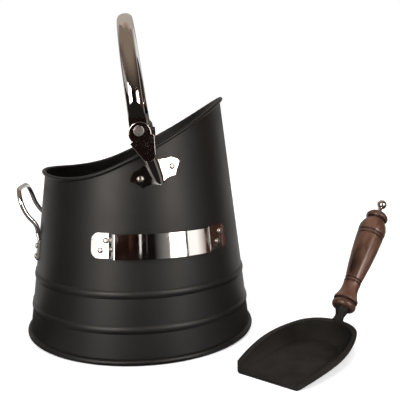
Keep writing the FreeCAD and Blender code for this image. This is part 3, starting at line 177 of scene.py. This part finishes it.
class Finish:
    """A material with a Principled shader, and short calls to add and join its nodes."""

    def __init__(self, name, **sockets):
        self.material = bpy.data.materials.new(name)
        self.material.use_nodes = True
        self.tree = self.material.node_tree
        self.tree.nodes.clear()
        self.shader = self.add("ShaderNodeBsdfPrincipled", sockets)
        output = self.add("ShaderNodeOutputMaterial")
        self.tree.links.new(self.shader.outputs["BSDF"], output.inputs["Surface"])
        self.place = self.add("ShaderNodeTexCoord").outputs["Object"]

    def add(self, kind, inputs=None, **settings):
        """A node, with its inputs joined or set."""
        node = self.tree.nodes.new(kind)
        for key, value in settings.items():
            setattr(node, key, value)
        for key, value in (inputs or {}).items():
            self.feed(node.inputs[key], value)
        return node

    def feed(self, socket, value):
        """Joins a socket to another one, or sets it."""
        if isinstance(value, bpy.types.NodeSocket):
            self.tree.links.new(value, socket)
        else:
            socket.default_value = value

    def set(self, name, source):
        """Joins a source to the shader."""
        self.feed(self.shader.inputs[name], source)

    def stretched(self, place, scale):
        return self.add("ShaderNodeMapping", {"Vector": place, "Scale": scale}).outputs["Vector"]

    def noise(self, place, scale, detail=4.0, rough=0.5, warp=0.0):
        inputs = {"Vector": place, "Scale": scale, "Detail": detail, "Roughness": rough, "Distortion": warp}
        return self.add("ShaderNodeTexNoise", inputs).outputs["Fac"]

    def ramp(self, factor, stops):
        """A tone for each level of the factor."""
        node = self.add("ShaderNodeValToRGB", {"Fac": factor})
        elements = node.color_ramp.elements
        while len(elements) < len(stops):
            elements.new(0.5)
        for element, (position, colour) in zip(elements, stops):
            element.position = position
            element.color = (*colour, 1.0)
        return node.outputs["Color"]

    def spread(self, factor, low, high, start=0.3, end=0.7):
        """The factor mapped from its usual range to another."""
        inputs = {"Value": factor, "From Min": start, "From Max": end, "To Min": low, "To Max": high}
        return self.add("ShaderNodeMapRange", inputs).outputs["Result"]

    def math(self, operation, *values):
        node = self.add("ShaderNodeMath", operation=operation)
        for socket, value in zip(node.inputs, values):
            self.feed(socket, value)
        return node.outputs["Value"]

    def mix(self, factor, first, second):
        """The first tone at 0, the second at 1."""
        node = self.add("ShaderNodeMix", data_type="RGBA")
        for name, value in (("Factor_Float", factor), ("A_Color", first), ("B_Color", second)):
            socket = next(s for s in node.inputs if s.identifier == name)
            self.feed(socket, (*value, 1.0) if isinstance(value, tuple) else value)
        return next(s for s in node.outputs if s.identifier == "Result_Color")

    def bump(self, height, depth, strength=1.0, under=None):
        """A normal from a height, on top of another where one is given."""
        inputs = {"Height": height, "Distance": depth, "Strength": strength}
        if under is not None:
            inputs["Normal"] = under
        return self.add("ShaderNodeBump", inputs).outputs["Normal"]


def black_paint():
    """Satin powder coat: a warm black with faint orange peel and uneven gloss."""
    f = Finish("black_paint", **{"Specular IOR Level": 0.5})
    cloud = f.noise(f.place, 9.0)
    f.set("Base Color", f.ramp(cloud, [(0.3, (0.0034, 0.003, 0.0026)), (0.7, (0.0056, 0.005, 0.0043))]))
    f.set("Roughness", f.spread(f.noise(f.place, 26.0, detail=3.0), 0.41, 0.49))
    waves = f.bump(f.noise(f.place, 14.0, detail=2.0), 0.6 * MM, strength=0.3)
    f.set("Normal", f.bump(f.noise(f.place, 1100.0, detail=3.0), 0.05 * MM, strength=0.35, under=waves))
    return f.material


def bright_chrome():
    """Polished plating over pressed steel: small dents in the reflections and a few hazy spots."""
    f = Finish("bright_chrome", **{"Metallic": 1.0, "Base Color": (0.83, 0.81, 0.79, 1.0)})
    f.set("Roughness", f.spread(f.noise(f.place, 90.0, detail=5.0), 0.03, 0.1))
    waves = f.bump(f.noise(f.place, 55.0, detail=2.0), 0.35 * MM, strength=0.06)
    f.set("Normal", f.bump(f.noise(f.place, 900.0), 0.02 * MM, strength=0.12, under=waves))
    return f.material


def rivet_metal():
    """Dull rivet heads, hammered and handled."""
    f = Finish("rivet_metal", **{"Metallic": 1.0})
    spots = f.noise(f.place, 420.0, detail=5.0)
    f.set("Base Color", f.ramp(spots, [(0.3, (0.5, 0.465, 0.43)), (0.7, (0.74, 0.7, 0.66))]))
    f.set("Roughness", f.spread(spots, 0.24, 0.4))
    f.set("Normal", f.bump(f.noise(f.place, 700.0, detail=3.0), 0.08 * MM, strength=0.4))
    return f.material


def plain_steel():
    """Drawn steel of the wire and the tie rod."""
    f = Finish("plain_steel", **{"Metallic": 1.0})
    streaks = f.noise(f.stretched(f.place, (900.0, 900.0, 60.0)), 1.0)
    f.set("Base Color", f.ramp(streaks, [(0.3, (0.36, 0.35, 0.34)), (0.7, (0.55, 0.54, 0.53))]))
    f.set("Roughness", f.spread(streaks, 0.3, 0.45))
    return f.material


def black_casting():
    """Painted cast iron of the pan: a grainy skin, dull and a little dusty, with painted shade in the
    hollows.
    """
    f = Finish("black_casting")
    dust = f.noise(f.place, 18.0, detail=6.0)
    skin = f.ramp(dust, [(0.32, (0.0064, 0.0055, 0.0047)), (0.7, (0.015, 0.0128, 0.011))])
    # Painted shade: the colour darkens and the gloss dims where the pan's own walls close in
    occlusion = f.add("ShaderNodeAmbientOcclusion", {"Distance": PAINTED_SHADE_REACH}, samples=16, only_local=True)
    unshaded = f.spread(occlusion.outputs["AO"], 0.0, 1.0, 0.7, 0.96)
    f.set("Base Color", f.mix(unshaded, PAINTED_SHADE, skin))
    f.set("Specular IOR Level", f.spread(unshaded, 0.06, 0.24, 0.0, 1.0))
    f.set("Roughness", f.spread(f.noise(f.place, 60.0), 0.5, 0.66))
    lumps = f.bump(f.noise(f.place, 120.0, detail=2.0), 0.35 * MM, strength=0.35)
    f.set("Normal", f.bump(f.noise(f.place, 650.0), 0.12 * MM, strength=0.5, under=lumps))
    return f.material


def turned_wood():
    """Lacquered walnut with its grain along the grip, dark figure and darker bands at the grooves."""
    f = Finish("turned_wood", **{"Coat Weight": 0.35, "Coat Roughness": 0.16, "Specular IOR Level": 0.4})
    inputs = {"Vector": f.place, "Location": HANDLE_BASE, "Rotation": HANDLE_TURN}
    local = f.add("ShaderNodeMapping", inputs, vector_type="TEXTURE").outputs["Vector"]
    broad = f.noise(f.stretched(local, BROAD_WAVES), 1.0, detail=5.0, rough=0.55, warp=0.7)
    fibre = f.noise(f.stretched(local, FIBRE_WAVES), 1.0, detail=3.0)
    figure = f.noise(f.stretched(local, FIGURE_WAVES), 1.0, detail=3.0, warp=1.2)
    tone = f.ramp(broad, [
        (0.28, (0.042, 0.018, 0.011)),
        (0.45, (0.089, 0.041, 0.025)),
        (0.58, (0.121, 0.058, 0.036)),
        (0.75, (0.165, 0.083, 0.051)),
    ])
    tone = f.mix(f.spread(fibre, 0.0, 0.55, 0.45, 0.75), tone, FIBRE_TONE)
    tone = f.mix(f.spread(figure, 0.0, 0.75, 0.52, 0.7), tone, FIGURE_TONE)
    squeezed = f.stretched(local, (1.0, 1.0, KNOT_SHARE))
    knot = (KNOT[0], KNOT[1], KNOT[2] * KNOT_SHARE)
    reach = f.add("ShaderNodeVectorMath", {0: squeezed, 1: knot}, operation="DISTANCE").outputs["Value"]
    ragged = f.math("ADD", reach, f.spread(figure, KNOT_RAGGED, -KNOT_RAGGED))
    tone = f.mix(f.spread(ragged, 0.95, 0.0, KNOT_CORE, KNOT_EDGE), tone, KNOT_TONE)
    along = f.add("ShaderNodeSeparateXYZ", {"Vector": local}).outputs["Z"]

    def band(share, reach, strength):
        """A band round the grip, to a reach on both sides of its middle."""
        level = GRIP_START + share * GRIP_LENGTH
        return f.spread(f.math("COMPARE", along, level, reach), 0.0, strength, 0.0, 1.0)

    for share, half_share in END_SHARES:
        tone = f.mix(band(share, half_share * GRIP_LENGTH, 0.42), tone, HANDLED)
    # Darker bands painted at the grooves
    groove_bands = None
    for share in GROOVE_SHARES:
        line = band(share, GROOVE_REACH, 0.85)
        groove_bands = line if groove_bands is None else f.math("MAXIMUM", groove_bands, line)
    f.set("Base Color", f.mix(groove_bands, tone, GROOVE_TONE))
    f.set("Roughness", f.spread(broad, 0.28, 0.42))
    f.set("Normal", f.bump(fibre, 0.05 * MM, strength=0.25))
    return f.material


FINISHES = {
    "black_paint": black_paint(),
    "bright_chrome": bright_chrome(),
    "rivet_metal": rivet_metal(),
    "plain_steel": plain_steel(),
    "black_casting": black_casting(),
    "turned_wood": turned_wood(),
}


def dress():
    """Each CAD node gets the finish of its slot in the record."""
    for part in frame["record"]["subparts"]:
        mesh = nodes[part["node"]].data
        mesh.materials.clear()
        mesh.materials.append(FINISHES[part["material_slot"]])


def seen_by_eye_and_mirror(tree):
    """1 for rays from the camera and from glossy or clear surfaces."""
    path = tree.nodes.new("ShaderNodeLightPath")
    total = path.outputs["Is Camera Ray"]
    for name in ("Is Glossy Ray", "Is Transmission Ray"):
        both = tree.nodes.new("ShaderNodeMath")
        both.operation = "MAXIMUM"
        tree.links.new(total, both.inputs[0])
        tree.links.new(path.outputs[name], both.inputs[1])
        total = both.outputs["Value"]
    return total


def set_world(fill):
    """White to the eye and in reflections, and a soft fill for everything else."""
    world = bpy.data.worlds.new("studio")
    bpy.context.scene.world = world
    world.use_nodes = True
    tree = world.node_tree
    background = tree.nodes["Background"]
    background.inputs["Color"].default_value = WHITE
    level = tree.nodes.new("ShaderNodeMapRange")
    tree.links.new(seen_by_eye_and_mirror(tree), level.inputs["Value"])
    level.inputs["To Min"].default_value = fill
    level.inputs["To Max"].default_value = 1.0
    tree.links.new(level.outputs["Result"], background.inputs["Strength"])


def add_floor():
    """A wide pale floor that goes to white and keeps the shadows."""
    mesh = bpy.data.meshes.new("floor")
    signs = [(-1, -1), (1, -1), (1, 1), (-1, 1)]
    corners = [(x * FLOOR_REACH, y * FLOOR_REACH, FLOOR_LEVEL) for x, y in signs]
    mesh.from_pydata(corners, [], [(0, 1, 2, 3)])
    floor = bpy.data.objects.new("floor", mesh)
    bpy.context.scene.collection.objects.link(floor)
    sockets = {"Base Color": FLOOR_TONE, "Roughness": 0.9, "Specular IOR Level": 0.1}
    f = Finish("floor_white", **sockets, **{"Emission Color": WHITE})
    away = f.add("ShaderNodeVectorMath", {0: f.place}, operation="LENGTH").outputs["Value"]
    glow = f.spread(away, GLOW_CLOSE, GLOW_FAR, GLOW_START, GLOW_END)
    f.set("Emission Strength", f.math("MULTIPLY", seen_by_eye_and_mirror(f.tree), glow))
    mesh.materials.append(f.material)


def add_lamp(name, bearing, height, distance, size, power):
    """A soft box. Bearing is from the camera's side towards the lip, in degrees."""
    light = bpy.data.lights.new(name, "AREA")
    light.shape = "RECTANGLE"
    light.size, light.size_y = size
    light.energy = power
    lamp = bpy.data.objects.new(name, light)
    a = math.radians(bearing)
    lamp.location = (distance * math.sin(a), -distance * math.cos(a), height)
    aim = LAMP_AIM - lamp.location
    lamp.rotation_euler = aim.to_track_quat("-Z", "Y").to_euler()
    lamp.visible_glossy = False
    bpy.context.scene.collection.objects.link(lamp)


def add_room():
    """What the metal and the paint reflect: soft boxes between dark flags. Only reflections meet it."""
    points, faces, tones = [], [], []

    def steps_over(span):
        """How many faces a span of degrees takes."""
        return max(1, round(span / ROOM_STEP))

    def grid(steps, rises, place, tone):
        """Faces over a patch, from a point and a tone at each step and rise."""
        base = len(points)
        for i in range(steps + 1):
            for j in range(rises + 1):
                points.append(place(i / steps, j / rises))
                tones.append(tone(i / steps, j / rises))
        for i in range(steps):
            for j in range(rises):
                corner = base + i * (rises + 1) + j
                faces.append((corner, corner + rises + 1, corner + rises + 2, corner + 1))

    for start, end, low, high, first, last, share in ROOM:
        def on_dome(i, j):
            a, b = math.radians(start + (end - start) * i), math.radians(low + (high - low) * j)
            away = Vector((math.sin(a) * math.cos(b), -math.cos(a) * math.cos(b), math.sin(b)))
            return ROOM_MIDDLE + away * ROOM_RADIUS

        def glow(i, j):
            return [(p + (q - p) * i) * (share + (1 - share) * j) for p, q in zip(first, last)]

        grid(steps_over(end - start), steps_over(high - low), on_dome, glow)

    for start, end, near, far, shade in FLOOR_ROOM:
        def on_floor(i, j):
            a, reach = math.radians(start + (end - start) * i), near + (far - near) * j
            return Vector((reach * math.sin(a), -reach * math.cos(a), FLOOR_FLAG_LEVEL))

        grid(steps_over(end - start), 1, on_floor, lambda i, j: shade)

    mesh = bpy.data.meshes.new("room")
    mesh.from_pydata(points, [], faces)
    paint = mesh.attributes.new("tone", "FLOAT_COLOR", "POINT")
    for item, tone in zip(paint.data, tones):
        item.color = (*tone, 1.0)
    sockets = {"Base Color": (0.0, 0.0, 0.0, 1.0), "Roughness": 1.0, "Specular IOR Level": 0.0}
    f = Finish("room", **sockets, **{"Emission Strength": 1.0})
    f.set("Emission Color", f.add("ShaderNodeAttribute", attribute_name="tone").outputs["Color"])
    mesh.materials.append(f.material)
    room = bpy.data.objects.new("room", mesh)
    bpy.context.scene.collection.objects.link(room)
    room.visible_camera = False
    room.visible_diffuse = False
    room.visible_transmission = False
    room.visible_shadow = False


def add_camera():
    """The photograph's view, with its small roll."""
    right = CAMERA_AIM.cross(Vector((0, 0, 1))).normalized()
    up = right.cross(CAMERA_AIM)
    turned_right = right * math.cos(CAMERA_ROLL) + up * math.sin(CAMERA_ROLL)
    turned_up = up * math.cos(CAMERA_ROLL) - right * math.sin(CAMERA_ROLL)
    data = bpy.data.cameras.new("camera")
    data.sensor_width = SENSOR
    data.lens = CAMERA_LENS
    data.clip_start, data.clip_end = CLIP_START, CLIP_END
    camera = bpy.data.objects.new("camera", data)
    turn = Matrix((turned_right, turned_up, -CAMERA_AIM)).transposed()
    camera.matrix_world = Matrix.Translation(CAMERA_PLACE) @ turn.to_4x4()
    bpy.context.scene.collection.objects.link(camera)
    bpy.context.scene.camera = camera


dress()
set_world(FILL)
add_floor()
add_room()
for box, row in LAMPS.items():
    add_lamp(box, *row)
add_camera()

bpy.context.scene.view_settings.view_transform = "Standard"
